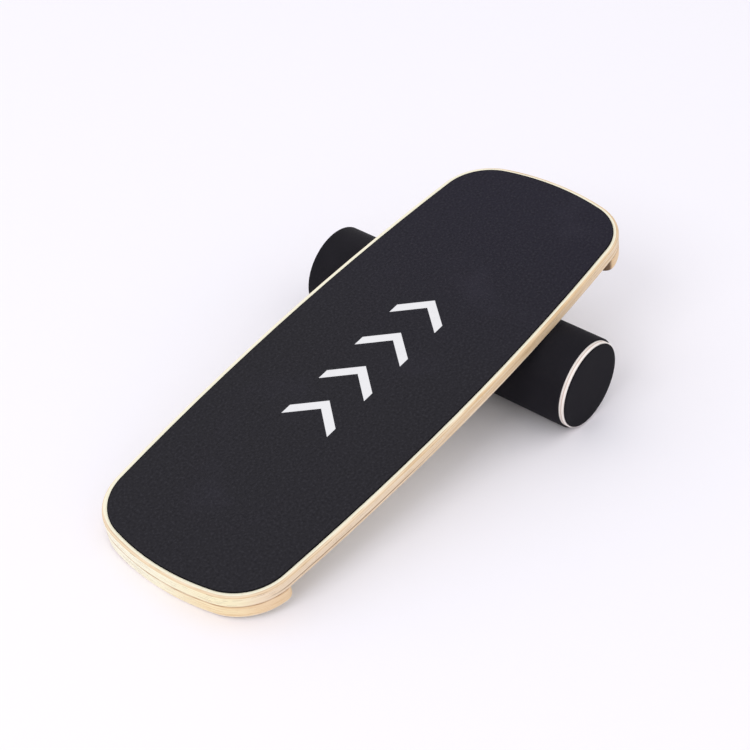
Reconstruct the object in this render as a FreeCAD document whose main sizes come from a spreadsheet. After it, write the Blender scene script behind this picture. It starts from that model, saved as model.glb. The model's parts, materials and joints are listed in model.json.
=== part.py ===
import FreeCAD, Part
import math
import os
import Sketcher
from FreeCAD import Placement, Rotation, Vector

# A balance board: a plywood deck with a grip sheet and an end stop under each end,
# lying tilted on a loose roller.
#
# Deck frame: origin on the deck's underside at its middle, X along the deck, Z up through it.
# Roller frame: origin at the roller's middle, Z along its axis. Both are then stood on the
# floor: the near stop's outer edge and the roller touch Z = 0, and the far end is raised.

os.makedirs("parts", exist_ok=True)
doc = FreeCAD.newDocument("BalanceBoard")

# ---------------------------------------------------------------- driving dimensions (mm)
SIZES = [
    ("deck_length", 750, "deck, end to end on its centre line"),
    ("deck_width", 280, "deck, across its middle"),
    ("deck_thick", 15, "birch plywood, eleven plies"),
    ("end_radius", 311, "the shallow arc of each end"),
    ("side_radius", 3650, "the slight bow of each side"),
    ("corner_radius", 71, "between an end and a side"),
    ("edge_round", 2.5, "top edge of the deck and lower edge of the stops"),
    ("joint_round", 0.8, "edges of the deck and the stops where they meet"),
    ("sheet_inset", 6.5, "bare wood round the grip sheet"),
    ("sheet_thick", 1.5, "grip sheet"),
    ("stop_length", 80, "stop, from the deck's end to its inner face"),
    ("stop_thick", 18, "stop, birch plywood a little thicker than the deck"),
    ("stop_corner", 12, "inner corners of a stop, seen from below"),
    ("screw_pitch", 70, "between the screws of a stop"),
    ("screw_setback", 40, "stop screws, from the deck's end"),
    ("screw_head", 4, "radius of a countersunk screw head"),
    ("screw_sink", 2.6, "depth of a countersunk screw head"),
    ("screw_shank", 2, "radius of a screw's shank"),
    ("screw_tip", 4, "length of a screw's point"),
    ("screw_point", 0.3, "radius of a screw's very tip"),
    ("stop_screw", 30, "length of a stop screw"),
    ("sleeve_radius", 57.5, "outside of the roller"),
    ("sleeve_thick", 2.5, "rubber sleeve on the roller"),
    ("tube_thick", 4, "wall of the roller's core tube"),
    ("tube_length", 379, "core tube; the sleeve also laps over the left disc's edge"),
    ("disc_thick", 6, "plywood disc that closes a tube end"),
    ("disc_round", 1.2, "outer edge of that disc"),
    ("plug_thick", 15, "plywood plug inside a tube end"),
    ("plug_gap", 0.1, "between a plug or the rib and the tube"),
    ("rib_thick", 12, "plywood rib at the tube's middle"),
    ("pad_thick", 1.5, "rubber pad on an end disc"),
    ("pad_margin", 1.5, "disc edge left bare round a pad"),
    ("cap_screw", 17, "length of a screw through a disc into its plug"),
    ("cap_circle", 32, "radius of the circle that those screws stand on"),
    ("rod_radius", 4, "tie rod along the roller's axis"),
    ("rod_gap", 0.1, "between the tie rod and the bores it runs in"),
    ("well_gap", 1, "between the washer and the side of the well it lies in"),
    ("washer_radius", 12, "tie rod washer"),
    ("washer_thick", 1.6, "tie rod washer"),
    ("washer_gap", 0.3, "between a washer and the bottom of its well"),
    ("nut_flats", 13, "tie rod nut, across its flats"),
    ("nut_thick", 6.5, "tie rod nut"),
    ("rod_proud", 0.3, "tie rod past its nuts"),
    ("rod_cover", 0.3, "from the tie rod's end out to the disc's face"),
    ("roller_place", 156, "roller's axis along the deck from its middle, at rest"),
    ("deck_shift", -4, "deck across the roller from the roller's middle, at rest"),
    ("deck_gap", 0.3, "running gap between the deck and the roller"),
]
SCREWS_A_STOP = 3
SCREWS_A_CAP = 3

sheet = doc.addObject("Spreadsheet::Sheet", "Sizes")
for row, (alias, value, note) in enumerate(SIZES, start=1):
    sheet.set("A%d" % row, str(value))
    sheet.setAlias("A%d" % row, alias)
    sheet.set("B%d" % row, note)
doc.recompute()


def size(alias):
    """The value of one cell of the sheet."""
    return float(sheet.get(alias))


# ---------------------------------------------------------------- how the pieces are made
def new_body(name):
    return doc.addObject("PartDesign::Body", name)


def new_sketch(body, name, height="0"):
    """An empty sketch parallel to the body's XY plane, at a height given as an expression."""
    sketch = body.newObject("Sketcher::SketchObject", name)
    plane = [f for f in body.Origin.OriginFeatures if f.Role == "XY_Plane"][0]
    sketch.AttachmentSupport = [(plane, "")]
    sketch.MapMode = "FlatFace"
    sketch.setExpression(".AttachmentOffset.Base.z", height)
    return sketch


def bind(sketch, expression, *constraint):
    """Adds one dimension to a sketch and ties it to an expression."""
    index = sketch.addConstraint(Sketcher.Constraint(*constraint))
    sketch.renameConstraint(index, "dim_%d" % index)
    sketch.setExpression("Constraints.dim_%d" % index, expression)


def pad(body, sketch, length):
    feature = body.newObject("PartDesign::Pad", sketch.Name + "_pad")
    feature.Profile = sketch
    feature.setExpression("Length", length)
    sketch.Visibility = False
    doc.recompute()
    return feature


def pocket(body, sketch, depth):
    """Cuts a sketch's outline down from its plane, and makes sure that it did cut."""
    before = body.Shape.Volume
    feature = body.newObject("PartDesign::Pocket", sketch.Name + "_pocket")
    feature.Profile = sketch
    feature.setExpression("Length", depth)
    doc.recompute()
    assert body.Shape.Volume < before - 1, sketch.Name + " cuts nothing"
    return feature


def add_circle(sketch, radius, expression):
    circle = sketch.addGeometry(Part.Circle(Vector(0, 0, 0), Vector(0, 0, 1), radius), False)
    sketch.addConstraint(Sketcher.Constraint("Coincident", circle, 3, -1, 1))
    bind(sketch, expression, "Radius", circle, radius)


def fillet_edges(body, feature, radius, wanted):
    """Rounds the edges of a feature that the test 'wanted' picks."""
    names = ["Edge%d" % (i + 1) for i, e in enumerate(feature.Shape.Edges) if wanted(e)]
    assert names, "no edge to round on " + body.Name
    fillet = body.newObject("PartDesign::Fillet", body.Name + "_round_%s" % radius)
    fillet.Base = (feature, names)
    fillet.setExpression("Radius", "Sizes." + radius)
    doc.recompute()
    return fillet


def lies_at(height):
    """A test for edges that lie flat at one height."""
    return lambda edge: (abs(edge.BoundBox.ZMin - height) < 1e-4 and
                         abs(edge.BoundBox.ZMax - height) < 1e-4)


def add_arc(sketch, centre, radius, start, end):
    """A counterclockwise arc from the direction of point start to that of point end."""
    angles = [math.atan2(p.y - centre.y, p.x - centre.x) for p in (start, end)]
    circle = Part.Circle(centre, Vector(0, 0, 1), radius)
    return sketch.addGeometry(Part.ArcOfCircle(circle, *angles), False)


def add_deck_outline(sketch, inset="0"):
    """The deck's outline: two end arcs, two side arcs and four corner arcs, all tangent.
    It is drawn inside the deck's edge by the inset, an expression."""
    gap = size(inset[len("Sizes."):]) if inset != "0" else 0.0
    end_r = size("end_radius") - gap
    side_r = size("side_radius") - gap
    corner_r = size("corner_radius") - gap
    end_c = Vector(size("deck_length") / 2 - size("end_radius"), 0, 0)
    side_c = Vector(0, size("deck_width") / 2 - size("side_radius"), 0)
    # the corner's centre is end_r - corner_r from one centre and side_r - corner_r from the other
    span = (side_c - end_c).Length
    near, far = end_r - corner_r, side_r - corner_r
    along = (near ** 2 - far ** 2 + span ** 2) / (2 * span)
    across = math.sqrt(near ** 2 - along ** 2)
    way = (side_c - end_c).normalize()
    corner_c = end_c + way * along + Vector(-way.y, way.x, 0) * across
    if corner_c.y < 0:
        corner_c = end_c + way * along - Vector(-way.y, way.x, 0) * across
    end_p = end_c + (corner_c - end_c).normalize() * end_r
    side_p = side_c + (corner_c - side_c).normalize() * side_r

    def turned(point, x, y):
        return Vector(point.x * x, point.y * y, 0)

    ends, sides, corners = [], [], []
    order = []
    for x, y in ((1, 1), (-1, -1)):
        ends.append(add_arc(sketch, turned(end_c, x, y), end_r,
                            turned(end_p, x, -y), turned(end_p, x, y)))
        corners.append(add_arc(sketch, turned(corner_c, x, y), corner_r,
                               turned(end_p, x, y), turned(side_p, x, y)))
        sides.append(add_arc(sketch, turned(side_c, x, y), side_r,
                             turned(side_p, x, y), turned(side_p, -x, y)))
        corners.append(add_arc(sketch, turned(corner_c, -x, y), corner_r,
                               turned(side_p, -x, y), turned(end_p, -x, y)))
        order += [ends[-1], corners[-2], sides[-1], corners[-1]]
    for one, following in zip(order, order[1:] + order[:1]):
        sketch.addConstraint(Sketcher.Constraint("Tangent", one, 2, following, 1))
    for arc in ends:
        sketch.addConstraint(Sketcher.Constraint("PointOnObject", arc, 3, -1))
    for arc in sides:
        sketch.addConstraint(Sketcher.Constraint("PointOnObject", arc, 3, -2))
    for group, name, radius in ((ends, "end", end_r), (sides, "side", side_r),
                                (corners, "corner", corner_r)):
        bind(sketch, "Sizes.%s_radius - %s" % (name, inset), "Radius", group[0], radius)
        for arc in group[1:]:
            sketch.addConstraint(Sketcher.Constraint("Equal", group[0], arc))
    reach = "Sizes.deck_length / 2 - Sizes.end_radius"
    depth = "Sizes.side_radius - Sizes.deck_width / 2"
    bind(sketch, reach, "DistanceX", -1, 1, ends[0], 3, end_c.x)
    bind(sketch, reach, "DistanceX", ends[1], 3, -1, 1, end_c.x)
    bind(sketch, depth, "DistanceY", sides[0], 3, -1, 1, -side_c.y)
    bind(sketch, depth, "DistanceY", -1, 1, sides[1], 3, -side_c.y)


def add_box_outline(sketch, left, right, reach):
    """A rectangle from x = left to x = right, both expressions, and reach to each side of X."""
    x0, x1 = left[0], right[0]
    corners = [Vector(x0, -reach[0], 0), Vector(x1, -reach[0], 0),
               Vector(x1, reach[0], 0), Vector(x0, reach[0], 0)]
    lines = [sketch.addGeometry(Part.LineSegment(a, b), False)
             for a, b in zip(corners, corners[1:] + corners[:1])]
    for one, following in zip(lines, lines[1:] + lines[:1]):
        sketch.addConstraint(Sketcher.Constraint("Coincident", one, 2, following, 1))
    for line in (lines[0], lines[2]):
        sketch.addConstraint(Sketcher.Constraint("Horizontal", line))
    for line in (lines[1], lines[3]):
        sketch.addConstraint(Sketcher.Constraint("Vertical", line))
    bind(sketch, left[1], "DistanceX", -1, 1, lines[0], 1, x0)
    bind(sketch, right[1], "DistanceX", -1, 1, lines[1], 1, x1)
    bind(sketch, reach[1], "DistanceY", -1, 1, lines[2], 1, reach[0])
    bind(sketch, reach[1], "DistanceY", lines[0], 1, -1, 1, reach[0])


def wood_screw(name, length, at):
    """A countersunk screw: its head's face at the placement's origin, its point along +Z."""
    head = doc.addObject("Part::Cone", name + "_head")
    head.setExpression("Radius1", "Sizes.screw_head")
    head.setExpression("Radius2", "Sizes.screw_shank")
    head.setExpression("Height", "Sizes.screw_sink")
    shank = doc.addObject("Part::Cylinder", name + "_shank")
    shank.setExpression("Radius", "Sizes.screw_shank")
    shank.setExpression("Height", "Sizes.%s - Sizes.screw_sink - Sizes.screw_tip" % length)
    shank.setExpression(".Placement.Base.z", "Sizes.screw_sink")
    tip = doc.addObject("Part::Cone", name + "_tip")
    tip.setExpression("Radius1", "Sizes.screw_shank")
    tip.setExpression("Radius2", "Sizes.screw_point")
    tip.setExpression("Height", "Sizes.screw_tip")
    tip.setExpression(".Placement.Base.z", "Sizes.%s - Sizes.screw_tip" % length)
    screw = doc.addObject("Part::MultiFuse", name)
    screw.Shapes = [head, shank, tip]
    screw.Placement = at
    return screw


def group(name, members):
    compound = doc.addObject("Part::Compound", name)
    compound.Links = members
    doc.recompute()
    return compound


def cut(name, base, screws):
    """A blank with the room for its screws taken out. The room is a compound of its own, which
    stays in the blank's frame when the screws are placed as a sub-part."""
    result = doc.addObject("Part::Cut", name)
    result.Base = base
    result.Tool = group(name + "_screw_room", screws)
    doc.recompute()
    assert result.Shape.Volume < base.Shape.Volume - 1, name + " lost nothing"
    return result


# ---------------------------------------------------------------- deck
def stop_screws(name, side):
    """The screws of one stop, driven up through it into the deck."""
    x = side * (size("deck_length") / 2 - size("screw_setback"))
    first = -(SCREWS_A_STOP - 1) / 2
    places = [Vector(x, (first + k) * size("screw_pitch"), -size("stop_thick"))
              for k in range(SCREWS_A_STOP)]
    return [wood_screw("%s_%d" % (name, k + 1), "stop_screw", Placement(place, Rotation()))
            for k, place in enumerate(places)]


def make_deck(screws):
    body = new_body("deck_blank")
    sketch = new_sketch(body, "deck_outline")
    add_deck_outline(sketch)
    plate = pad(body, sketch, "Sizes.deck_thick")
    top = fillet_edges(body, plate, "edge_round", lies_at(size("deck_thick")))
    fillet_edges(body, top, "joint_round", lies_at(0))
    return cut("deck_panel", body, screws)


def make_grip_sheet():
    body = new_body("grip_sheet")
    sketch = new_sketch(body, "grip_outline", "Sizes.deck_thick")
    add_deck_outline(sketch, "Sizes.sheet_inset")
    pad(body, sketch, "Sizes.sheet_thick")
    return body


def make_stop(name, side, screws):
    """One end of the deck's own outline: side is -1 for the near end and 1 for the far end."""
    body = new_body(name + "_blank")
    sketch = new_sketch(body, name + "_outline", "-Sizes.stop_thick")
    add_deck_outline(sketch)
    pad(body, sketch, "Sizes.stop_thick")
    inner = size("deck_length") / 2 - size("stop_length")
    keep_out = new_sketch(body, name + "_trim")
    inner_face = "Sizes.deck_length / 2 - Sizes.stop_length"
    past_end = "Sizes.deck_length"
    if side < 0:
        left, right = (-inner, "-(%s)" % inner_face), (size("deck_length"), past_end)
    else:
        left, right = (-size("deck_length"), "-" + past_end), (inner, inner_face)
    add_box_outline(keep_out, left, right, (size("deck_width"), "Sizes.deck_width"))
    trimmed = pocket(body, keep_out, "Sizes.stop_thick")
    corners = fillet_edges(body, trimmed, "stop_corner",
                           lambda e: e.BoundBox.ZLength > size("stop_thick") / 2 and
                           abs(abs(e.BoundBox.Center.x) - inner) < 1e-3)
    lower = fillet_edges(body, corners, "edge_round", lies_at(-size("stop_thick")))
    fillet_edges(body, lower, "joint_round", lies_at(0))
    return cut(name, body, screws)


near_screws = stop_screws("near_screw", -1)
far_screws = stop_screws("far_screw", 1)
deck_pieces = [
    make_deck(near_screws + far_screws),
    make_grip_sheet(),
    make_stop("near_stop", -1, near_screws),
    make_stop("far_stop", 1, far_screws),
    group("near_stop_screws", near_screws),
    group("far_stop_screws", far_screws),
]


# ---------------------------------------------------------------- roller
def round_piece(name, radius, height, length, bore=None):
    """A disc or ring about the roller's axis; radius, height, length and bore are expressions."""
    body = new_body(name)
    sketch = new_sketch(body, name + "_section", height)
    add_circle(sketch, size("sleeve_radius"), radius)
    if bore:
        add_circle(sketch, size("rod_radius"), bore)
    pad(body, sketch, length)
    return body


TUBE_OUTSIDE = "(Sizes.sleeve_radius - Sizes.sleeve_thick)"
TUBE_INSIDE = "(%s - Sizes.tube_thick)" % TUBE_OUTSIDE
TUBE_END = "Sizes.tube_length / 2"
DISC_FACE = "(%s + Sizes.disc_thick)" % TUBE_END
ROD_BORE = "(Sizes.rod_radius + Sizes.rod_gap)"
SLEEVE_LENGTH = "(Sizes.tube_length + Sizes.disc_thick)"
WELL_RADIUS = "(Sizes.washer_radius + Sizes.well_gap)"
WELL_DEPTH = ("(Sizes.washer_gap + Sizes.washer_thick + Sizes.nut_thick + Sizes.rod_proud + "
              "Sizes.rod_cover)")
WELL_FLOOR = "(%s - %s)" % (DISC_FACE, WELL_DEPTH)
WASHER_FOOT = "(%s + Sizes.washer_gap)" % WELL_FLOOR
NUT_FOOT = "(%s + Sizes.washer_thick)" % WASHER_FOOT
ROD_END = "(%s + Sizes.nut_thick + Sizes.rod_proud)" % NUT_FOOT


def cap_screws(name):
    """Screws through an end disc into its plug, heads flush with the disc's face."""
    face = size("tube_length") / 2 + size("disc_thick")
    inward = Rotation(Vector(1, 0, 0), 180)
    screws = []
    for k in range(SCREWS_A_CAP):
        angle = 2 * math.pi * k / SCREWS_A_CAP
        at = Vector(math.cos(angle), math.sin(angle), 0) * size("cap_circle") + Vector(0, 0, face)
        screws.append(wood_screw("%s_%d" % (name, k + 1), "cap_screw", Placement(at, inward)))
    return screws


def make_plug(name, screws):
    body = round_piece(name + "_blank", "%s - Sizes.plug_gap" % TUBE_INSIDE,
                       "%s - Sizes.plug_thick" % TUBE_END, "Sizes.plug_thick", ROD_BORE)
    well = new_sketch(body, name + "_well", TUBE_END)
    add_circle(well, size("washer_radius"), WELL_RADIUS)
    pocket(body, well, "%s - Sizes.disc_thick" % WELL_DEPTH)
    return cut(name, body, screws)


def make_disc(name, screws):
    body = round_piece(name + "_blank", TUBE_OUTSIDE, TUBE_END, "Sizes.disc_thick",
                       WELL_RADIUS)
    face = size("tube_length") / 2 + size("disc_thick")
    fillet_edges(body, body.Tip, "disc_round",
                 lambda e: lies_at(face)(e) and e.BoundBox.XLength / 2 > size("cap_circle"))
    return cut(name, body, screws)


def make_nut(name):
    body = new_body(name)
    sketch = new_sketch(body, name + "_section", NUT_FOOT)
    corner = size("nut_flats") / math.sqrt(3)
    points = [Vector(math.cos(math.pi * k / 3), math.sin(math.pi * k / 3), 0) * corner
              for k in range(6)]
    sides = [sketch.addGeometry(Part.LineSegment(a, b), False)
             for a, b in zip(points, points[1:] + points[:1])]
    around = sketch.addGeometry(Part.Circle(Vector(0, 0, 0), Vector(0, 0, 1), corner), True)
    sketch.addConstraint(Sketcher.Constraint("Coincident", around, 3, -1, 1))
    for one, following in zip(sides, sides[1:] + sides[:1]):
        sketch.addConstraint(Sketcher.Constraint("Coincident", one, 2, following, 1))
        sketch.addConstraint(Sketcher.Constraint("PointOnObject", one, 1, around))
    for line in sides[1:]:
        sketch.addConstraint(Sketcher.Constraint("Equal", sides[0], line))
    sketch.addConstraint(Sketcher.Constraint("PointOnObject", sides[0], 1, -1))
    bind(sketch, "Sizes.nut_flats / sqrt(3)", "Radius", around, corner)
    add_circle(sketch, size("rod_radius"), "Sizes.rod_radius")
    pad(body, sketch, "Sizes.nut_thick")
    return body


core_pieces = [
    round_piece("core_tube", TUBE_OUTSIDE, "-" + TUBE_END, "Sizes.tube_length", TUBE_INSIDE),
    round_piece("sleeve", "Sizes.sleeve_radius", "-" + TUBE_END, SLEEVE_LENGTH, TUBE_OUTSIDE),
    round_piece("centre_rib", "%s - Sizes.plug_gap" % TUBE_INSIDE, "-Sizes.rib_thick / 2",
                "Sizes.rib_thick", ROD_BORE),
    round_piece("tie_rod", "Sizes.rod_radius", "-" + ROD_END, "2 * " + ROD_END),
]
end_pieces = {}
for end in ("left", "right"):
    screws = cap_screws(end + "_cap_screw")
    end_pieces[end] = [
        make_plug(end + "_cap_plug", screws),
        make_disc(end + "_cap_disc", screws),
        group(end + "_cap_screws", screws),
        round_piece(end + "_end_pad", "%s - Sizes.pad_margin" % TUBE_OUTSIDE, DISC_FACE,
                    "Sizes.pad_thick"),
        round_piece(end + "_tie_washer", "Sizes.washer_radius", WASHER_FOOT,
                    "Sizes.washer_thick", "Sizes.rod_radius"),
        make_nut(end + "_tie_nut"),
    ]

# ---------------------------------------------------------------- standing on the floor
# The floor touches the rounded lower edge of the near stop and the roller's underside, so it
# makes an angle with the deck: the line of their centres, less what their radii differ by.
roller_drop = size("sleeve_radius") + size("deck_gap")
edge_x = size("edge_round") - size("deck_length") / 2
edge_z = size("edge_round") - size("stop_thick")
run = size("roller_place") - edge_x
fall = -roller_drop - edge_z
tilt = (math.asin((size("sleeve_radius") - size("edge_round")) / math.hypot(run, fall)) -
        math.atan2(fall, run))
lean = Rotation(Vector(0, 1, 0), -math.degrees(tilt))
roller_in_deck = Vector(size("roller_place"), -size("deck_shift"), -roller_drop)
# the roller's axis first stands over the origin; the deck follows it
roller_at = Vector(0, 0, size("sleeve_radius"))
deck_at = roller_at - lean.multVec(roller_in_deck)

along_y = Rotation(Vector(1, 0, 0), -90)
end_turn = {"left": Rotation(), "right": Rotation(Vector(1, 0, 0), 180)}


def stand(shift):
    """Places every piece, with the whole object moved along X by the shift."""
    for piece in deck_pieces:
        piece.Placement = Placement(deck_at + shift, lean)
    for piece in core_pieces:
        piece.Placement = Placement(roller_at + shift, along_y)
    for end, group_of_pieces in end_pieces.items():
        for piece in group_of_pieces:
            piece.Placement = Placement(roller_at + shift, along_y * end_turn[end])
    doc.recompute()


sub_parts = deck_pieces + core_pieces + end_pieces["left"] + end_pieces["right"]
stand(Vector(0, 0, 0))
boxes = [piece.Shape.optimalBoundingBox(False) for piece in sub_parts]
middle_x = (min(b.XMin for b in boxes) + max(b.XMax for b in boxes)) / 2
origin_shift = Vector(-middle_x, 0, 0)
stand(origin_shift)

# ---------------------------------------------------------------- checks and files
for item in doc.Objects:
    assert not {"Invalid", "Error"} & set(item.State), item.Name + " has failed"
for piece in sub_parts:
    assert not piece.Shape.isNull() and piece.Shape.isValid(), piece.Label + " is not a valid shape"
assert len({piece.Label for piece in sub_parts}) == len(sub_parts), "two pieces share a name"

for piece in sub_parts:
    piece.Shape.exportStep("parts/%s.step" % piece.Label)

# the figures that the joints and mounts are stated with
touch = math.sqrt(size("sleeve_radius") ** 2 - (roller_drop - size("stop_thick")) ** 2)
reach = size("deck_length") / 2 - size("stop_length") - touch - size("deck_gap")
axle = roller_at + origin_shift
standing = deck_at + origin_shift + lean.multVec(Vector(0, 0, size("deck_thick") +
                                                       size("sheet_thick")))
print("tilt %.4f deg" % math.degrees(tilt))
print("roller axis passes %.4f %.4f %.4f" % tuple(axle))
print("roller travel %.3f to %.3f along %.6f 0 %.6f" % (
    -reach - size("roller_place"), reach - size("roller_place"), math.cos(tilt), math.sin(tilt)))
print("rolling radius %.3f" % size("sleeve_radius"))
print("standing face %.4f %.4f %.4f" % tuple(standing))
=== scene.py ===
import json
import math
import bpy
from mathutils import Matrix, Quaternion, Vector


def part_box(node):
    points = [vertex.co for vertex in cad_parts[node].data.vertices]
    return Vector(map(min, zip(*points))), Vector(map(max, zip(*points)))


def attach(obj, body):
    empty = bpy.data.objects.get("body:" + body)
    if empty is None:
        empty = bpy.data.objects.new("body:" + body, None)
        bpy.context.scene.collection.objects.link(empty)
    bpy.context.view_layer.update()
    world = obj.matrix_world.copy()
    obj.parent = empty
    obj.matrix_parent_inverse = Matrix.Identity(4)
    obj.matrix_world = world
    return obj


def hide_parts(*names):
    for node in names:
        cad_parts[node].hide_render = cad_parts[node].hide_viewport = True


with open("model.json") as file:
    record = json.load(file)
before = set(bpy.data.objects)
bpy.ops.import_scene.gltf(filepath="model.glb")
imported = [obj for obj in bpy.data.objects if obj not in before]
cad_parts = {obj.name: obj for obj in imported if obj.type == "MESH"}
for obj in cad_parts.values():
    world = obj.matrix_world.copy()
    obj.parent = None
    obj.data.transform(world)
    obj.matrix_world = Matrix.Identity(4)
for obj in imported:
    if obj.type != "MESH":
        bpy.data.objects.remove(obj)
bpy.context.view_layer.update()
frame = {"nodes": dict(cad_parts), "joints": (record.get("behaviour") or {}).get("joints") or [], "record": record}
nodes = frame["nodes"]
joints = {joint["name"]: joint for joint in frame["joints"]}
print("frame loaded:", len(nodes), "parts")

mm = 0.001

# The deck's own directions: along it from the low end to the high end, across it and up from its pad
padCentre = Vector(frame["record"]["mounts"][0]["pos_m"])
alongDeck = Vector(joints["roller_travel"]["axis"]).normalized()
acrossDeck = Vector((0, 1, 0))
aboveDeck = alongDeck.cross(acrossDeck)
deckTilt = math.atan2(alongDeck.z, alongDeck.x)
rollerCentre = Vector(joints["roller_spin"]["pos_m"])
deckTurn = Quaternion(acrossDeck, -deckTilt)


def onDeck(x, y, z):
    # a place in millimetres from the middle of the pad's top, in the frame's metres
    return padCentre + (alongDeck * x + acrossDeck * y + aboveDeck * z) * mm


# Shader helpers: sums written as Python, and one material at a time


class Value:
    # a socket that can be added, multiplied and so on
    def __init__(self, paint, socket):
        self.paint = paint
        self.socket = socket

    def maths(self, operation, first, second=0.0):
        return self.paint.node("ShaderNodeMath", {"operation": operation}, {0: first, 1: second})

    def __add__(self, other):
        return self.maths("ADD", self, other)

    def __sub__(self, other):
        return self.maths("SUBTRACT", self, other)

    def __rsub__(self, other):
        return self.maths("SUBTRACT", other, self)

    def __mul__(self, other):
        return self.maths("MULTIPLY", self, other)

    def __truediv__(self, other):
        return self.maths("DIVIDE", self, other)

    def __pow__(self, other):
        return self.maths("POWER", self, other)

    def __abs__(self):
        return self.maths("ABSOLUTE", self)

    def __mod__(self, other):
        return self.maths("FLOORED_MODULO", self, other)

    __radd__ = __add__
    __rmul__ = __mul__

    def between(self, low, high):
        # 0 below low, 1 above high and a smooth step from one to the other
        settings = {"interpolation_type": "SMOOTHSTEP"}
        inputs = {"Value": self, "From Min": low, "From Max": high}
        return self.paint.node("ShaderNodeMapRange", settings, inputs)


class Paint:
    # one material and the nodes in it
    def __init__(self, name, roughness=0.6, specular=0.4):
        self.material = bpy.data.materials.new(name)
        self.material.use_nodes = True
        self.tree = self.material.node_tree
        self.shader = self.tree.nodes["Principled BSDF"]
        self.shader.inputs["Roughness"].default_value = roughness
        self.shader.inputs["Specular IOR Level"].default_value = specular

    def connect(self, socket, value):
        if isinstance(value, Value):
            self.tree.links.new(value.socket, socket)
        elif isinstance(value, bpy.types.NodeSocket):
            self.tree.links.new(value, socket)
        else:
            socket.default_value = value

    def node(self, kind, settings={}, inputs={}, output=0):
        made = self.tree.nodes.new(kind)
        for name, setting in settings.items():
            setattr(made, name, setting)
        for name, value in inputs.items():
            self.connect(made.inputs[name], value)
        return Value(self, made.outputs[output])

    def place(self, centre=(0, 0, 0), turn=(0, 0, 0), scale=(1, 1, 1)):
        # object coordinates measured from centre, along turned axes
        where = self.node("ShaderNodeTexCoord", output="Object")
        inputs = {"Vector": where, "Location": centre, "Rotation": turn, "Scale": scale}
        return self.node("ShaderNodeMapping", {"vector_type": "TEXTURE"}, inputs)

    def stretched(self, place, scale):
        return self.node("ShaderNodeVectorMath", {"operation": "MULTIPLY"}, {0: place, 1: scale})

    def noise(self, place, scale, detail=2.0, roughness=0.5):
        inputs = {"Vector": place, "Scale": scale, "Detail": detail, "Roughness": roughness}
        return self.node("ShaderNodeTexNoise", {}, inputs)

    def parts(self, place):
        split = self.node("ShaderNodeSeparateXYZ", {}, {0: place})
        return [Value(self, socket) for socket in split.socket.node.outputs]

    def mix(self, factor, first, second):
        inputs = {"Factor": factor, 6: first, 7: second}
        return self.node("ShaderNodeMix", {"data_type": "RGBA"}, inputs, output=2)

    def joined(self, x, y, z):
        return self.node("ShaderNodeCombineXYZ", {}, {0: x, 1: y, 2: z})

    def dot(self, first, second):
        settings = {"operation": "DOT_PRODUCT"}
        return self.node("ShaderNodeVectorMath", settings, {0: first, 1: second}, output="Value")

    def finish(self, colour=None, roughness=None, bumps=None, bumpDepth=0.1 * mm):
        if colour is not None:
            self.connect(self.shader.inputs["Base Color"], colour)
        if roughness is not None:
            self.connect(self.shader.inputs["Roughness"], roughness)
        if bumps is not None:
            bump = self.node("ShaderNodeBump", {}, {"Strength": 1.0, "Distance": bumpDepth, "Height": bumps})
            self.connect(self.shader.inputs["Normal"], bump)
        return self.material


studioLight = 1.08  # how much brighter than white a white thing lies under the studio's light


def tone(red, green, blue, light=studioLight):
    # a colour as it looks under that light, from 0 to 255, made linear for the shader
    linear = [((level / 255 + 0.055) / 1.055) ** 2.4 / light for level in (red, green, blue)]
    return (*linear, 1.0)


# Birch plywood: plies one above the other, each with its own tone, and glue lines between them
plywood = {
    "pale": tone(251, 232, 203),
    "warm": tone(239, 210, 170),
    "tan": tone(220, 184, 136),
    "glue": tone(200, 160, 114),
    "void": tone(112, 80, 50),
    # pale plies, also painted light on the cut edge towards the near end
    "palePlyAndNearLight": tone(254, 238, 216),
    # painted light: the end faces paler and whiter than the sides, whitest at the left
    "litEndLeft": tone(255, 255, 234),
    "litEndRight": tone(255, 248, 206),
    # the pale face veneer, paler still as a painted highlight along the top rim
    "veneerAndHighlight": tone(255, 250, 226),
    "veneerGrain": tone(249, 239, 209),
    "stripe": tone(158, 122, 84),
    # the stops' golden wood, shown on their right half only, partly as painted shade
    "stopWoodAndShade": tone(248, 216, 168),
    "stopGrainAndShade": tone(226, 180, 124),
    "seam": tone(176, 130, 84),
    # dark brown of a sawn face, also painted shade under the deck
    "sawnAndShade": tone(112, 82, 54),
    "ply": 15 / 11 * mm,
    "padThickness": 1.5 * mm,
    "roughness": 0.42,
    "grainDepth": 0.12 * mm,
    "veneerStretch": (9, 420, 9),
}

# Heights of the lines round the edge, in plies down from the deck's top face
lineSteps = {"top": 0.7, "stripe": 7.6, "lowest": 10.5, "seam": 11, "foot": 21.6}

# Where the tones change: metres along the deck (x) or across it (y)
woodPlaces = {
    # painted light: the cut edge turns paler over this reach towards the near end
    "nearLightFade": 0.2,
    "stripeFade": 0.15,
    "stripeEnd": 0.335,
    # painted light on the end faces, whiter towards the left
    "endLightTones": (-0.12, 0.06),
    # painted light and shade: the stops stay pale on their left half and turn golden on their right half
    "stopShadeTones": (-0.12, 0.02),
    # painted light: these make the left side and its rim paler
    "litLeftSide": (0.10, 0.135),
    "litVeneerLeft": (0.08, 0.13),
}

# Patterns in the cut edge: waves a metre round the deck, waves a ply down it and where they start
edgePatterns = {
    "plyTone": (7.0, 5.7, 0.0),
    "fibres": (26.0, 2.2, 0.0),
    "streaks": (15.0, 0.9, 30.0),
    "lineTone": (11.0, 3.3, 40.0),
    "gaps": (48.0, 9.1, 90.0),
}


def edgePattern(paint, kind, x, y, depth, detail, roughness=0.5):
    waves, wavesDown, start = edgePatterns[kind]
    place = paint.joined(x * waves, y * waves, depth * wavesDown + start)
    return paint.noise(place, 1.0, detail=detail, roughness=roughness)


def lineAt(step, height, core, reach):
    # 1 within core plies of a height, 0 past reach
    return 1 - abs(step - height).between(core, reach)


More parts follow.
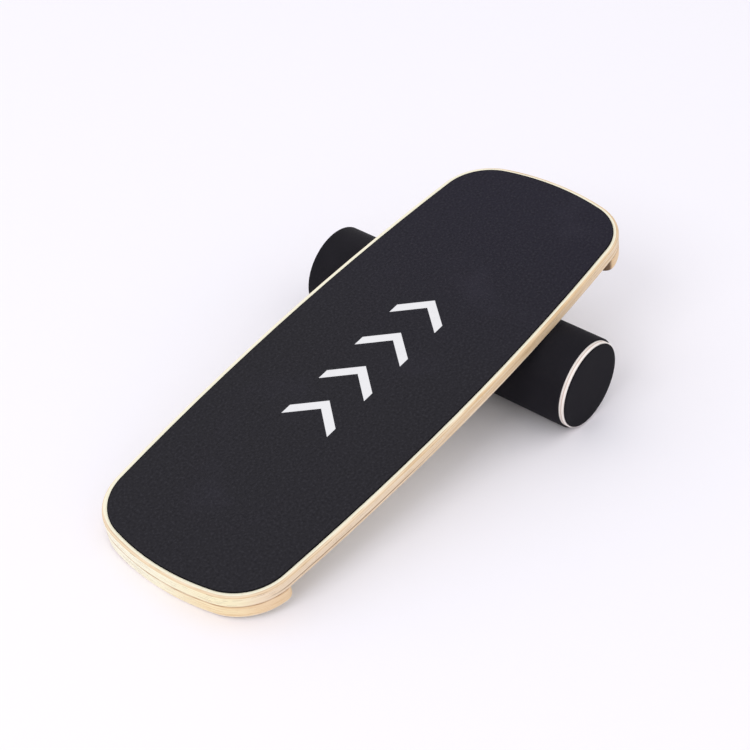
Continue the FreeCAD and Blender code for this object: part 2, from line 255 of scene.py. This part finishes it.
def shadedCutEdge(paint, x, y, step, onEnd):
    # the colour of a cut through the plies, with painted light and shade on it; step counts plies down from the
    # deck's top face
    inPly = step % 1.0
    ply = step - inPly
    line = (step + 0.5) - ((step + 0.5) % 1.0)
    plyTone = edgePattern(paint, "plyTone", x, y, ply, 1.0)
    fibres = edgePattern(paint, "fibres", x, y, step, 3.0, roughness=0.65)
    streaks = edgePattern(paint, "streaks", x, y, step, 2.0)
    lineTone = edgePattern(paint, "lineTone", x, y, line, 2.0)
    gaps = edgePattern(paint, "gaps", x, y, line, 1.0)
    glueLine = (abs(inPly - 0.5) * 2.0).between(0.66, 0.98)
    towardsNear = 0 - x

    wood = paint.mix(plyTone.between(0.35, 0.65), plywood["pale"], plywood["warm"])
    wood = paint.mix(streaks.between(0.46, 0.66) * 0.6, wood, plywood["tan"])
    # painted light: the cut edge turns paler towards the near end, where the light falls strongest
    wood = paint.mix(towardsNear.between(0.0, woodPlaces["nearLightFade"]) * 0.5, wood, plywood["palePlyAndNearLight"])
    # painted light: the end faces are paler and whiter than the sides, most of all at their left, where the light
    # falls on them
    endLightSide = y.between(*woodPlaces["endLightTones"])
    litEndCut = paint.mix(endLightSide, plywood["litEndRight"], plywood["litEndLeft"])
    wood = paint.mix(onEnd * 0.85, wood, litEndCut)
    wood = paint.mix(fibres.between(0.50, 0.70) * (0.65 - onEnd * 0.2), wood, plywood["tan"])
    wood = paint.mix(lineAt(step, lineSteps["top"], 0.1, 0.7) * 0.6, wood, plywood["tan"])

    # glue between the plies, with gaps where a ply was short
    wood = paint.mix(glueLine * lineTone.between(0.46, 0.62) * 0.55, wood, plywood["glue"])
    voids = (gaps + onEnd * 0.07).between(0.66, 0.70) * step.between(0.5, 0.8)
    wood = paint.mix(glueLine * voids * 0.85, wood, plywood["void"])

    # the deck's lowest ply is pale, and a dark one lies above it over the near half
    wood = paint.mix(lineAt(step, lineSteps["lowest"], 0.3, 0.6) * 0.7, wood, plywood["palePlyAndNearLight"])
    stripeReach = towardsNear.between(0.0, woodPlaces["stripeFade"])
    stripeReach = stripeReach * (x + woodPlaces["stripeEnd"]).between(0.0, 0.03)
    stripe = lineAt(step, lineSteps["stripe"], 0.35, 1.05) * stripeReach
    wood = paint.mix(stripe * (0.55 + lineTone * 0.6), wood, plywood["stripe"])

    # the stops have a pale lowest ply and a seam under the deck; their more golden wood is painted on their right
    # half only, the golden tone there partly painted shade and the pale left half painted light
    shadedRightHalf = 1 - y.between(*woodPlaces["stopShadeTones"])
    shadedStopBand = (step - lineSteps["seam"]).between(0.0, 0.6) * shadedRightHalf
    wood = paint.mix(shadedStopBand * 0.55, wood, plywood["stopWoodAndShade"])
    wood = paint.mix(shadedStopBand * fibres.between(0.46, 0.60) * 0.6, wood, plywood["stopGrainAndShade"])
    foot = (step - lineSteps["foot"]).between(0.0, 1.2)
    wood = paint.mix(foot * 0.7, wood, plywood["palePlyAndNearLight"])
    seam = lineAt(step, lineSteps["seam"] + 0.1, 0.3, 1.2)
    wood = paint.mix(seam * (0.45 + gaps.between(0.40, 0.62) * 0.4), wood, plywood["seam"])
    return wood, fibres


# The deck's outline in millimetres: the arcs of its ends, its sides and its corners
outline = {
    "halfLength": 375,
    "halfWidth": 140,
    "endRadius": 311,
    "sideRadius": 3650,
    "cornerRadius": 71,
    "cornerAlong": 297.22,  # the middle of a corner's arc
    "cornerAcross": 56.64,
    "cornerPastAlong": 303,  # the arc runs between these
    "cornerPastAcross": 73.4,
    "veneerEdge": 3.2,  # the rounded edge shows the plies out here
    "veneerSoftness": 0.5,
    # painted highlight: the pale top reaches this much nearer the outline on the left
    "litWiderOnLeft": 2.4,
}


def fromMiddle(along, across):
    return (along * along + across * across) ** 0.5


def fromOutline(x, y):
    # how far inside the outline a place lies
    along = abs(x) * (1 / mm)
    across = abs(y) * (1 / mm)
    endAlong = along - (outline["halfLength"] - outline["endRadius"])
    sideAcross = across - (outline["halfWidth"] - outline["sideRadius"])
    cornerAlong = along - outline["cornerAlong"]
    cornerAcross = across - outline["cornerAcross"]
    end = outline["endRadius"] - fromMiddle(endAlong, across)
    side = outline["sideRadius"] - fromMiddle(along, sideAcross)
    corner = outline["cornerRadius"] - fromMiddle(cornerAlong, cornerAcross)
    nearest = end.maths("MINIMUM", end, side)
    onCorner = end.maths("GREATER_THAN", along, outline["cornerPastAlong"])
    onCorner = onCorner * end.maths("GREATER_THAN", across, outline["cornerPastAcross"])
    return nearest + (corner - nearest) * onCorner


def deckPlyMaterial(name, sawnShadedFaces=False):
    paint = Paint(name, roughness=0.5)
    place = paint.place(padCentre, (0, -deckTilt, 0))
    x, y, z = paint.parts(place)
    facing = paint.node("ShaderNodeTexCoord", output="Normal")
    onEnd = abs(paint.dot(facing, alongDeck)).between(0.45, 0.95)
    onFace = abs(paint.dot(facing, aboveDeck)).between(0.95, 0.995)
    depth = (z + plywood["padThickness"]) * (-1 / plywood["ply"])
    wood, fibres = shadedCutEdge(paint, x, y, depth, onEnd)
    grain = paint.noise(paint.stretched(place, plywood["veneerStretch"]), 1.0, detail=3.0)
    # the top face's pale veneer, made paler still as a painted highlight along the top rim
    veneerAndHighlight = paint.mix(grain.between(0.4, 0.75) * 0.6, plywood["veneerAndHighlight"], plywood["veneerGrain"])
    # painted highlight: the pale top reaches nearer the outline on the left rim
    edge = outline["veneerEdge"] - y.between(*woodPlaces["litVeneerLeft"]) * outline["litWiderOnLeft"]
    soft = outline["veneerSoftness"]
    veneerHighlightArea = onFace * fromOutline(x, y).between(edge - soft, edge + soft)
    colour = paint.mix(veneerHighlightArea, wood, veneerAndHighlight)
    # painted light: the left side is painted pale, where the light falls on it
    colour = paint.mix(y.between(*woodPlaces["litLeftSide"]) * 0.7, colour, plywood["veneerAndHighlight"])
    if sawnShadedFaces:  # the inner face of the far stop, painted dark brown: partly browned by the saw, partly painted shade under the deck
        inwards = paint.dot(facing, alongDeck) * x * -3.0
        sawnShade = inwards.between(0.10, 0.50) * (1 - onFace) * x.between(0.0, 0.1)
        colour = paint.mix(sawnShade * (0.75 + fibres * 0.5), colour, plywood["sawnAndShade"])
    bumps = fibres * (1 - onFace) + grain * onFace
    return paint.finish(colour, plywood["roughness"] + fibres * 0.2, bumps, plywood["grainDepth"])


# The roller's end discs: three plies across its axis, the middle one pinkish
capPly = {
    "pale": tone(255, 248, 242),
    "middle": tone(206, 172, 158),
    "grain": tone(240, 222, 206),
    "fibreStretch": (60, 900, 60),
    "swirlStretch": (300, 90, 12),
}


def capPlyMaterial(name, faceAt, thickness):
    paint = Paint(name, roughness=0.5)
    place = paint.place(rollerCentre)
    x, y, z = paint.parts(place)
    depth = (faceAt - abs(y)) / thickness
    middle = 1 - (abs(depth - 0.5) * 2.0).between(0.10, 0.30)
    fibres = paint.noise(paint.stretched(place, capPly["fibreStretch"]), 1.0, detail=3.0)
    swirl = paint.noise(paint.stretched(place, capPly["swirlStretch"]), 1.0, detail=3.0)
    colour = paint.mix(fibres.between(0.45, 0.8) * 0.5, capPly["pale"], capPly["grain"])
    colour = paint.mix(swirl.between(0.5, 0.8) * 0.3, colour, capPly["grain"])
    colour = paint.mix(middle * (0.55 + fibres * 0.4), colour, capPly["middle"])
    return paint.finish(colour, 0.45 + fibres * 0.2, fibres, 0.1 * mm)


# The grip sheet: fine grit bonded to its face, and a bare black rim, painted darker still as shade along its edge
grip = {
    "near": tone(40, 39, 44),
    "far": tone(38, 36, 48),
    "speckle": tone(55, 54, 60),
    "pit": tone(26, 25, 30),
    "smudge": tone(58, 56, 68),
    # the bare cut rim, also painted shade along the sheet's edge
    "shadedCutEdge": tone(14, 13, 16),
    "padHalf": 0.36,
    "gritScale": 900.0,
    "speckleScale": 320.0,
    "smudgeScale": 9.0,
    "gritDepth": 0.3 * mm,
}


def gripMaterial():
    paint = Paint("gripGrain", roughness=0.9, specular=0.15)
    place = paint.place(padCentre, (0, -deckTilt, 0))
    far = (paint.parts(place)[0] / grip["padHalf"]).between(-0.2, 1.0)
    grit = paint.noise(place, grip["gritScale"], detail=2.0, roughness=0.7)
    speckle = paint.noise(place, grip["speckleScale"], detail=2.0, roughness=0.6)
    cloudy = paint.noise(place, grip["smudgeScale"], detail=3.0)
    colour = paint.mix(far, grip["near"], grip["far"])
    colour = paint.mix(speckle.between(0.5, 0.72) * 0.6, colour, grip["speckle"])
    colour = paint.mix((1 - speckle).between(0.5, 0.72) * 0.6, colour, grip["pit"])
    colour = paint.mix(cloudy.between(0.55, 0.8) * 0.25, colour, grip["smudge"])
    facing = paint.node("ShaderNodeTexCoord", output="Normal")
    # painted shade: the bare black rim and sides, darkened along the edge
    shadedRim = 1 - paint.dot(facing, aboveDeck).between(0.90, 0.995)
    colour = paint.mix(shadedRim, colour, grip["shadedCutEdge"])
    return paint.finish(colour, 0.85 + grit * 0.12, grit, grip["gritDepth"])


# Closed-cell foam rubber: fine pores and soft cloudy wear
foam = {
    "poreScale": 420.0,
    "poreDepth": 0.2 * mm,
    "wearScale": 22.0,
    "roughness": 0.7,
    "specular": 0.08,
}


def foamMaterial(name, dark, light):
    paint = Paint(name, roughness=foam["roughness"], specular=foam["specular"])
    place = paint.place(rollerCentre)
    pores = paint.noise(place, foam["poreScale"], detail=3.0, roughness=0.65)
    cloudy = paint.noise(place, foam["wearScale"], detail=3.0)
    shade = paint.mix(pores * 0.5 + cloudy.between(0.4, 0.8) * 0.5, dark, light)
    return paint.finish(shade, foam["roughness"] - 0.1 + cloudy * 0.2, pores, foam["poreDepth"])


ink = {"fresh": tone(238, 238, 240), "worn": tone(218, 218, 222), "wearScale": 60.0}


def printMaterial():
    paint = Paint("whiteInk", roughness=0.6)
    place = paint.place(padCentre, (0, -deckTilt, 0))
    grit = paint.noise(place, grip["gritScale"], detail=2.0, roughness=0.7)
    wear = paint.noise(place, ink["wearScale"], detail=4.0)
    colour = paint.mix(wear.between(0.45, 0.8) * 0.3, ink["fresh"], ink["worn"])
    return paint.finish(colour, 0.55 + grit * 0.2, grit, 0.1 * mm)


def metalMaterial(name, colour, roughness, scale=(300, 300, 300)):
    paint = Paint(name, roughness=roughness)
    place = paint.place()
    brushed = paint.noise(paint.stretched(place, scale), 1.0, detail=3.0)
    spots = paint.noise(place, 90.0, detail=2.0)
    shade = paint.mix(spots.between(0.5, 0.8) * 0.4, colour, tone(120, 118, 112))
    paint.shader.inputs["Metallic"].default_value = 1.0
    return paint.finish(shade, roughness + brushed * 0.15, brushed, 0.03 * mm)


def tubeMaterial():
    # extruded grey plastic with fine die lines along it
    paint = Paint("extrudedTube", roughness=0.5)
    place = paint.place(rollerCentre)
    dieLines = paint.noise(paint.stretched(place, (420, 3, 420)), 1.0, detail=2.0)
    cloudy = paint.noise(place, 30.0, detail=2.0)
    colour = paint.mix(cloudy, tone(148, 148, 150), tone(128, 128, 132))
    return paint.finish(colour, 0.4 + dieLines * 0.2, dieLines, 0.05 * mm)


discLow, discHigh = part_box("left_cap_disc")
discFace = discHigh.y
discThickness = discHigh.y - discLow.y
materials = {
    "deckPly": deckPlyMaterial("birchDeck"),
    "stopPly": deckPlyMaterial("birchStop", sawnShadedFaces=True),
    "capPly": capPlyMaterial("birchCap", discFace, discThickness),
    "grip": gripMaterial(),
    "ink": printMaterial(),
    "sleeve": foamMaterial("sleeveFoam", tone(24, 23, 28), tone(34, 32, 38)),
    "endPad": foamMaterial("endPadFoam", tone(20, 19, 24), tone(28, 26, 33)),
    "zinc": metalMaterial("zincPlate", tone(214, 210, 196), 0.3),
    "steel": metalMaterial("drawnSteel", tone(190, 190, 192), 0.25, (500, 20, 500)),
    "tube": tubeMaterial(),
}
print("materials made:", len(materials))

nodeFinishes = {
    "deck_panel": "deckPly",
    "near_stop": "stopPly",
    "far_stop": "stopPly",
    "grip_sheet": "grip",
    "near_stop_screws": "zinc",
    "far_stop_screws": "zinc",
    "tie_rod": "steel",
    "core_tube": "tube",
    "sleeve": "sleeve",
    "centre_rib": "capPly",
}
for side in ("left", "right"):
    nodeFinishes[side + "_tie_washer"] = "steel"
    nodeFinishes[side + "_tie_nut"] = "steel"
    nodeFinishes[side + "_cap_plug"] = "capPly"
    nodeFinishes[side + "_cap_disc"] = "capPly"
    nodeFinishes[side + "_cap_screws"] = "zinc"
    nodeFinishes[side + "_end_pad"] = "endPad"
for name, finish in nodeFinishes.items():
    nodes[name].data.materials.clear()
    nodes[name].data.materials.append(materials[finish])


# Modelling helpers
def clearSelection():
    bpy.ops.object.select_all(action="DESELECT")


def pick(piece):
    clearSelection()
    piece.select_set(True)
    bpy.context.view_layer.objects.active = piece


def startEditing(mode="FACE"):
    bpy.ops.object.mode_set(mode="EDIT")
    bpy.ops.mesh.select_mode(type=mode)
    bpy.ops.mesh.select_all(action="DESELECT")


def stopEditing():
    bpy.ops.object.mode_set(mode="OBJECT")


def applyPlace():
    bpy.ops.object.transform_apply(location=True, rotation=True, scale=True)


def finishWith(piece, kind, **settings):
    modifier = piece.modifiers.new(kind.lower(), kind)
    for name, setting in settings.items():
        setattr(modifier, name, setting)
    bpy.ops.object.modifier_apply(modifier=modifier.name)


def copyNode(name, pieceName):
    # a new piece with a CAD node's shape, its loose triangles merged and its flat faces whole again
    piece = bpy.data.objects.new(pieceName, nodes[name].data.copy())
    bpy.context.scene.collection.objects.link(piece)
    pick(piece)
    bpy.ops.mesh.customdata_custom_splitnormals_clear()
    startEditing()
    bpy.ops.mesh.select_all(action="SELECT")
    bpy.ops.mesh.remove_doubles(threshold=0.005 * mm)
    bpy.ops.mesh.dissolve_limited(angle_limit=math.radians(0.1))
    stopEditing()
    return piece


def handOver(piece, material, body, node):
    piece.data.materials.clear()
    piece.data.materials.append(materials[material])
    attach(piece, body)
    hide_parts(node)
    print(piece.name, "made:", len(piece.data.polygons), "faces")


# The grip sheet, with its top rim softened as a die cuts it
gripSheet = {"rim": 1.3, "rimSteps": 3}


def makeGripSheet():
    piece = copyNode("grip_sheet", "gripSheet")
    for edge in piece.data.edges:
        heights = [(piece.data.vertices[index].co - padCentre).dot(aboveDeck) for index in edge.vertices]
        edge.select = min(heights) > -0.1 * mm
    bpy.ops.object.mode_set(mode="EDIT")
    bpy.ops.mesh.bevel(offset=gripSheet["rim"] * mm, segments=gripSheet["rimSteps"])
    stopEditing()
    bpy.ops.object.shade_smooth_by_angle(angle=math.radians(35))
    handOver(piece, "grip", "board", "grip_sheet")


# The roller's foam sleeve: an open tube with soft rims
sleeve = {"sides": 160, "wall": 2.5, "rim": 0.7, "rimSteps": 3}


def makeSleeve():
    low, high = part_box("sleeve")
    middle = (low + high) / 2
    clearSelection()
    bpy.ops.mesh.primitive_cylinder_add(
        vertices=sleeve["sides"], radius=(high.z - low.z) / 2, depth=high.y - low.y,
        end_fill_type="NOTHING", location=middle, rotation=(math.pi / 2, 0, 0))
    piece = bpy.context.object
    piece.name = "rollerSleeve"
    applyPlace()
    finishWith(piece, "SOLIDIFY", thickness=sleeve["wall"] * mm, offset=-1.0)
    finishWith(piece, "BEVEL", width=sleeve["rim"] * mm, segments=sleeve["rimSteps"])
    bpy.ops.object.shade_smooth_by_angle(angle=math.radians(35))
    handOver(piece, "sleeve", "roller", "sleeve")


# The foam pads on the roller's ends: a flat disc whose outer face is a little dished
endPad = {"sides": 128, "rim": 0.5, "rimSteps": 3, "dishRing": 6, "dish": 0.15}


def makeEndPad(side, outwards):
    low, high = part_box(side + "_end_pad")
    middle = (low + high) / 2
    clearSelection()
    bpy.ops.mesh.primitive_cylinder_add(
        vertices=endPad["sides"], radius=(high.z - low.z) / 2, depth=high.y - low.y,
        location=middle, rotation=(math.pi / 2, 0, 0))
    piece = bpy.context.object
    piece.name = side + "EndPad"
    applyPlace()
    finishWith(
        piece, "BEVEL", width=endPad["rim"] * mm, segments=endPad["rimSteps"],
        angle_limit=math.radians(60))
    for face in piece.data.polygons:
        face.select = len(face.vertices) > 4 and face.normal.y * outwards > 0.9
    bpy.ops.object.mode_set(mode="EDIT")
    bpy.ops.mesh.select_mode(type="FACE")
    bpy.ops.mesh.inset(thickness=endPad["dishRing"] * mm)
    bpy.ops.transform.translate(value=(0, -outwards * endPad["dish"] * mm, 0))
    stopEditing()
    bpy.ops.object.shade_smooth_by_angle(angle=math.radians(35))
    handOver(piece, "endPad", "roller", side + "_end_pad")


# The screws under each stop: countersunk heads with a cross recess
stopScrews = {"count": 3, "armLength": 4.6, "armWidth": 0.9, "recess": 1.5, "recessFoot": 0.45}


def headCentres(piece):
    # the middles of the heads' faces, which are the lowest points of the screws
    heights = [vertex.co.dot(aboveDeck) for vertex in piece.data.vertices]
    lowest = min(heights) + 0.02 * mm
    rims = [vertex.co for vertex, height in zip(piece.data.vertices, heights) if height < lowest]
    rims.sort(key=lambda point: point.y)
    share = len(rims) // stopScrews["count"]
    groups = [rims[number * share:(number + 1) * share] for number in range(stopScrews["count"])]
    return [sum(group, Vector()) / len(group) for group in groups]


def makeCutter(centre, quarter):
    # one arm of the cross, narrower at its foot
    bpy.ops.mesh.primitive_cube_add(size=2, location=(0, 0, 0))
    cutter = bpy.context.object
    halfLength = stopScrews["armLength"] / 2 * mm
    halfWidth = stopScrews["armWidth"] / 2 * mm
    cutter.scale = (halfLength, halfWidth, stopScrews["recess"] * mm)
    bpy.ops.object.transform_apply(location=False, rotation=False, scale=True)
    for vertex in cutter.data.vertices:
        vertex.select = vertex.co.z > 0
    bpy.ops.object.mode_set(mode="EDIT")
    bpy.ops.mesh.select_mode(type="VERT")
    foot = stopScrews["recessFoot"]
    bpy.ops.transform.resize(value=(foot, foot, 1), center_override=(0, 0, 0))
    stopEditing()
    cutter.rotation_mode = "QUATERNION"
    cutter.rotation_quaternion = deckTurn @ Quaternion((0, 0, 1), quarter * math.pi / 2)
    cutter.location = centre
    applyPlace()
    return cutter


def makeStopScrews(end):
    node = end + "_stop_screws"
    piece = copyNode(node, end + "StopScrews")
    for centre in headCentres(piece):
        for quarter in (0, 1):
            clearSelection()
            cutter = makeCutter(centre, quarter)
            pick(piece)
            finishWith(piece, "BOOLEAN", operation="DIFFERENCE", object=cutter, solver="EXACT")
            bpy.data.objects.remove(cutter)
    bpy.ops.object.shade_smooth_by_angle(angle=math.radians(35))
    handOver(piece, "zinc", "board", node)


# The print: a row of arrowheads along the middle of the sheet
arrows = {
    "count": 4,
    "first": -121,
    "pitch": 66,
    "halfWidth": 34,
    "stroke": 15,
    "point": 30,
    "thickness": 0.15,
}


def makeArrow(number):
    clearSelection()
    bpy.ops.mesh.primitive_plane_add(size=2, location=(0, 0, 0))
    arrow = bpy.context.object
    arrow.name = "printArrow" + str(number + 1)
    arrow.scale = (arrows["stroke"] / 2 * mm, arrows["halfWidth"] * mm, 1)
    bpy.ops.object.transform_apply(location=False, rotation=False, scale=True)
    startEditing("EDGE")
    stopEditing()
    for edge in arrow.data.edges:
        first, second = (arrow.data.vertices[index].co for index in edge.vertices)
        edge.select = abs(first.y - second.y) > abs(first.x - second.x)
    bpy.ops.object.mode_set(mode="EDIT")
    bpy.ops.mesh.subdivide(number_cuts=1)
    bpy.ops.mesh.select_all(action="DESELECT")
    stopEditing()
    for vertex in arrow.data.vertices:
        vertex.select = abs(vertex.co.y) < 0.1 * mm
    bpy.ops.object.mode_set(mode="EDIT")
    bpy.ops.mesh.select_mode(type="VERT")
    bpy.ops.transform.translate(value=(arrows["point"] * mm, 0, 0))
    bpy.ops.mesh.select_all(action="SELECT")
    bpy.ops.mesh.extrude_region_move(TRANSFORM_OT_translate={"value": (0, 0, arrows["thickness"] * mm)})
    bpy.ops.mesh.select_all(action="SELECT")
    bpy.ops.mesh.normals_make_consistent(inside=False)
    stopEditing()
    arrow.rotation_mode = "QUATERNION"
    arrow.rotation_quaternion = deckTurn
    arrow.location = onDeck(arrows["first"] + number * arrows["pitch"], 0, 0)
    applyPlace()
    arrow.data.materials.append(materials["ink"])
    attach(arrow, "board")


makeGripSheet()
makeSleeve()
makeEndPad("left", 1)
makeEndPad("right", -1)
for end in ("near", "far"):
    makeStopScrews(end)
for number in range(arrows["count"]):
    makeArrow(number)
print("print made")


# The floor, the light and the camera
studio = {
    "floorHalf": 6.0,
    "floorColour": tone(249, 247, 253, 1),
    "floorCloud": tone(245, 243, 250, 1),
    "ambient": 0.925,
    "ambientColour": tone(254, 253, 255, 1),
    "keyPower": 140,
    "keySize": 3.7,
    "keyDistance": 8.0,
    "keyFrom": (-1.15, 0.0, 1.0),
}


def floorMaterial():
    paint = Paint("studioFloor", roughness=0.7, specular=0.15)
    place = paint.place()
    soft = paint.noise(place, 1.2, detail=2.0)
    colour = paint.mix(soft * 0.2, studio["floorColour"], studio["floorCloud"])
    return paint.finish(colour)


clearSelection()
bpy.ops.mesh.primitive_plane_add(size=2 * studio["floorHalf"], location=(0, 0, 0))
floor = bpy.context.object
floor.name = "floor"
floor.data.materials.append(floorMaterial())
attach(floor, "axle")  # the roller is what stands on the floor, wherever it has rolled to

world = bpy.data.worlds.new("studio")
world.use_nodes = True
world.node_tree.nodes["Background"].inputs["Color"].default_value = studio["ambientColour"]
world.node_tree.nodes["Background"].inputs["Strength"].default_value = studio["ambient"]
bpy.context.scene.world = world
bpy.context.scene.view_settings.view_transform = "Standard"

keyFrom = Vector(studio["keyFrom"]).normalized()
bpy.ops.object.light_add(type="AREA", location=keyFrom * studio["keyDistance"])
key = bpy.context.object
key.name = "keyLight"
key.rotation_mode = "QUATERNION"
key.rotation_quaternion = keyFrom.to_track_quat("Z", "Y")
key.data.energy = studio["keyPower"]
key.data.size = studio["keySize"]

shot = {
    "azimuth": -51.189,
    "elevation": 36.824,
    "roll": 0.722,
    "distance": 1.9677,
    "aim": Vector((-9.69, -7.8, -16.55)) * mm,
    "lens": 81.168,
    "sensor": 36,
}
azimuth = math.radians(shot["azimuth"])
elevation = math.radians(shot["elevation"])
looking = Vector((-math.sin(azimuth), math.cos(azimuth), -math.tan(elevation))).normalized()
bpy.ops.object.camera_add(location=padCentre + shot["aim"] - looking * shot["distance"])
camera = bpy.context.object
camera.rotation_mode = "QUATERNION"
roll = Quaternion((0, 0, 1), math.radians(shot["roll"]))
camera.rotation_quaternion = looking.to_track_quat("-Z", "Y") @ roll
camera.data.lens = shot["lens"]
camera.data.sensor_width = shot["sensor"]
bpy.context.scene.camera = camera
print("studio ready")
